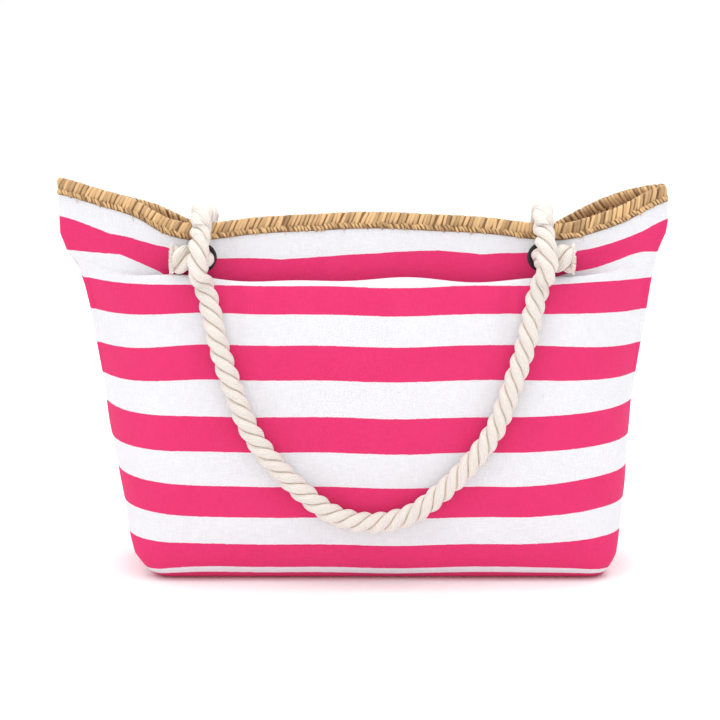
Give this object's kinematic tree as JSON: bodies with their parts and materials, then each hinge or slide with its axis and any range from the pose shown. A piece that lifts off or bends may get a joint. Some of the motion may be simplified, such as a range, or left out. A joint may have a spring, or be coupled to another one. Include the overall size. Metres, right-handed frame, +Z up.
{
  "type": "beach bag",
  "caption": "Wide striped canvas tote with a braided straw rim, a flat stiffened base and hanging rope handles knotted through metal eyelets.",
  "frame": {"origin": "middle of the base, on the floor", "axes": "+X across the bag's width, -Y out of its front, +Z up towards the mouth"},
  "size_m": [0.5414, 0.1924, 0.3535],
  "materials": {
    "striped_canvas": "matt plain weave with pink and white stripes",
    "pink_lining": "matt plain weave",
    "straw_braid": "dry plaited straw",
    "cotton_rope": "soft three-strand cotton",
    "dark_metal": "dark plated, satin",
    "grey_board": "pressed grey board"
  },
  "bodies": {
    "bag": {"front_canvas": "striped_canvas", "back_canvas": "striped_canvas", "base_canvas": "striped_canvas", "front_lining": "pink_lining", "back_lining": "pink_lining", "base_lining": "pink_lining", "base_board": "grey_board", "straw_braid_rim": "straw_braid", "front_left_eyelet": "dark_metal", "front_right_eyelet": "dark_metal", "back_left_eyelet": "dark_metal", "back_right_eyelet": "dark_metal", "front_left_washer": "dark_metal", "front_right_washer": "dark_metal", "back_left_washer": "dark_metal", "back_right_washer": "dark_metal", "front_left_rope_end": "cotton_rope", "front_right_rope_end": "cotton_rope", "back_left_rope_end": "cotton_rope", "back_right_rope_end": "cotton_rope", "front_left_rope_bight": "cotton_rope", "front_right_rope_bight": "cotton_rope", "back_left_rope_bight": "cotton_rope", "back_right_rope_bight": "cotton_rope"},
    "front_handle": {"front_rope_handle": "cotton_rope"},
    "back_handle": {"back_rope_handle": "cotton_rope"}
  },
  "joints": [
    {"name": "front_handle_swing", "type": "hinge", "parent": "bag", "child": "front_handle", "pos_m": [0.00799, -0.02732, 0.31397], "axis": [-1, -0.0027, -0.001], "range_deg": [0, 150], "deforming": ["front_left_rope_bight", "front_right_rope_bight"]},
    {"name": "back_handle_swing", "type": "hinge", "parent": "bag", "child": "back_handle", "pos_m": [-0.0015, 0.03074, 0.29417], "axis": [0.9983, 0.0005, -0.0578], "range_deg": [0, 150], "deforming": ["back_left_rope_bight", "back_right_rope_bight"]}
  ]
}
